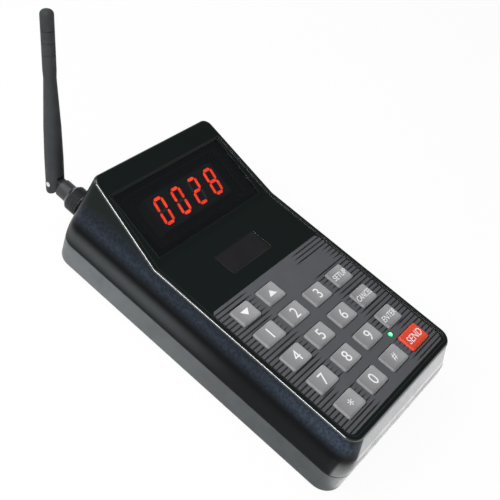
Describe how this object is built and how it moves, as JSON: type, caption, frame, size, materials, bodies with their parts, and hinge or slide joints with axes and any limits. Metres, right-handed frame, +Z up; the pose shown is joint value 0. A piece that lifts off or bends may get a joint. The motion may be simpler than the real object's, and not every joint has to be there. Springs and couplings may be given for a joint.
{
  "type": "guest pager transmitter",
  "caption": "Desktop paging transmitter: wedge case with keypad, raised display deck behind a dark window, status lamp and a swivelling whip aerial at the back.",
  "frame": {"origin": "on the desk plane, at the centre of the outline of the case with its aerial", "axes": "+Z up from the desk, +Y from the keypad to the display and the aerial, +X to the right of someone using it"},
  "size_m": [0.1042, 0.2276, 0.1086],
  "materials": {
    "case_plastic": "satin",
    "foot_rubber": "matte",
    "screw_steel": "satin",
    "overlay_film": "matte",
    "mat_rubber": "matte",
    "lamp_green": "gloss",
    "plate_plastic": "satin",
    "filter_acrylic": "gloss",
    "board_laminate": "satin",
    "component_plastic": "matte",
    "ribbon_plastic": "matte",
    "can_tin": "satin",
    "connector_brass": "gloss",
    "lead_plastic": "matte",
    "inlet_plastic": "satin",
    "nut_black": "satin",
    "knuckle_plastic": "satin",
    "whip_plastic": "matte",
    "key_grey": "matte",
    "key_red": "matte",
    "digit_plastic": "matte"
  },
  "bodies": {
    "casing": {"lower_casing": "case_plastic", "upper_casing": "case_plastic", "rubber_feet": "foot_rubber", "case_screws": "screw_steel", "board_screws": "screw_steel", "keypad_overlay": "overlay_film", "keypad_mat": "mat_rubber", "status_lamp": "lamp_green", "name_plate": "plate_plastic", "display_window": "filter_acrylic", "display_board": "board_laminate", "main_board": "board_laminate", "processor_chip": "component_plastic", "board_components": "component_plastic", "beeper": "component_plastic", "ribbon_cable": "ribbon_plastic", "transmitter_board": "board_laminate", "shield_can": "can_tin", "aerial_socket": "connector_brass", "socket_nut": "connector_brass", "aerial_lead": "lead_plastic", "power_inlet": "inlet_plastic", "inlet_nut": "screw_steel", "inlet_leads": "lead_plastic", "digit_1": "digit_plastic", "digit_2": "digit_plastic", "digit_3": "digit_plastic", "digit_4": "digit_plastic"},
    "key_1": {"key_1": "key_grey"},
    "key_2": {"key_2": "key_grey"},
    "key_3": {"key_3": "key_grey"},
    "key_setup": {"key_setup": "key_grey"},
    "key_4": {"key_4": "key_grey"},
    "key_5": {"key_5": "key_grey"},
    "key_6": {"key_6": "key_grey"},
    "key_cancel": {"key_cancel": "key_grey"},
    "key_7": {"key_7": "key_grey"},
    "key_8": {"key_8": "key_grey"},
    "key_9": {"key_9": "key_grey"},
    "key_enter": {"key_enter": "key_grey"},
    "key_star": {"key_star": "key_grey"},
    "key_0": {"key_0": "key_grey"},
    "key_hash": {"key_hash": "key_grey"},
    "key_send": {"key_send": "key_red"},
    "key_down": {"key_down": "key_grey"},
    "key_up": {"key_up": "key_grey"},
    "aerial_nut": {"aerial_nut": "nut_black"},
    "aerial_knuckle": {"aerial_knuckle": "knuckle_plastic"},
    "aerial_whip": {"aerial_whip": "whip_plastic", "hinge_pin": "screw_steel"}
  },
  "joints": [
    {"name": "key_1_press", "type": "slide", "parent": "casing", "child": "key_1", "axis": [0, 0, -1], "range_m": [0, 0.0005], "stiffness_N_per_m": 600},
    {"name": "key_2_press", "type": "slide", "parent": "casing", "child": "key_2", "axis": [0, 0, -1], "range_m": [0, 0.0005], "stiffness_N_per_m": 600},
    {"name": "key_3_press", "type": "slide", "parent": "casing", "child": "key_3", "axis": [0, 0, -1], "range_m": [0, 0.0005], "stiffness_N_per_m": 600},
    {"name": "key_setup_press", "type": "slide", "parent": "casing", "child": "key_setup", "axis": [0, 0, -1], "range_m": [0, 0.0005], "stiffness_N_per_m": 600},
    {"name": "key_4_press", "type": "slide", "parent": "casing", "child": "key_4", "axis": [0, 0, -1], "range_m": [0, 0.0005], "stiffness_N_per_m": 600},
    {"name": "key_5_press", "type": "slide", "parent": "casing", "child": "key_5", "axis": [0, 0, -1], "range_m": [0, 0.0005], "stiffness_N_per_m": 600},
    {"name": "key_6_press", "type": "slide", "parent": "casing", "child": "key_6", "axis": [0, 0, -1], "range_m": [0, 0.0005], "stiffness_N_per_m": 600},
    {"name": "key_cancel_press", "type": "slide", "parent": "casing", "child": "key_cancel", "axis": [0, 0, -1], "range_m": [0, 0.0005], "stiffness_N_per_m": 600},
    {"name": "key_7_press", "type": "slide", "parent": "casing", "child": "key_7", "axis": [0, 0, -1], "range_m": [0, 0.0005], "stiffness_N_per_m": 600},
    {"name": "key_8_press", "type": "slide", "parent": "casing", "child": "key_8", "axis": [0, 0, -1], "range_m": [0, 0.0005], "stiffness_N_per_m": 600},
    {"name": "key_9_press", "type": "slide", "parent": "casing", "child": "key_9", "axis": [0, 0, -1], "range_m": [0, 0.0005], "stiffness_N_per_m": 600},
    {"name": "key_enter_press", "type": "slide", "parent": "casing", "child": "key_enter", "axis": [0, 0, -1], "range_m": [0, 0.0005], "stiffness_N_per_m": 600},
    {"name": "key_star_press", "type": "slide", "parent": "casing", "child": "key_star", "axis": [0, 0, -1], "range_m": [0, 0.0005], "stiffness_N_per_m": 600},
    {"name": "key_0_press", "type": "slide", "parent": "casing", "child": "key_0", "axis": [0, 0, -1], "range_m": [0, 0.0005], "stiffness_N_per_m": 600},
    {"name": "key_hash_press", "type": "slide", "parent": "casing", "child": "key_hash", "axis": [0, 0, -1], "range_m": [0, 0.0005], "stiffness_N_per_m": 600},
    {"name": "key_send_press", "type": "slide", "parent": "casing", "child": "key_send", "axis": [0, 0, -1], "range_m": [0, 0.0005], "stiffness_N_per_m": 600},
    {"name": "key_down_press", "type": "slide", "parent": "casing", "child": "key_down", "axis": [0, 0, -1], "range_m": [0, 0.0005], "stiffness_N_per_m": 600},
    {"name": "key_up_press", "type": "slide", "parent": "casing", "child": "key_up", "axis": [0, 0, -1], "range_m": [0, 0.0005], "stiffness_N_per_m": 600},
    {"name": "nut_turn", "type": "hinge", "parent": "casing", "child": "aerial_nut", "pos_m": [-0.036, 0.0641, 0.0252], "axis": [0, 1, 0], "continuous": true},
    {"name": "aerial_swivel", "type": "hinge", "parent": "casing", "child": "aerial_knuckle", "pos_m": [-0.036, 0.0723, 0.0252], "axis": [0, 1, 0], "continuous": true},
    {"name": "whip_fold", "type": "hinge", "parent": "aerial_knuckle", "child": "aerial_whip", "pos_m": [-0.036, 0.0844, 0.0252], "axis": [1, 0, 0], "range_deg": [-72, 18]}
  ]
}
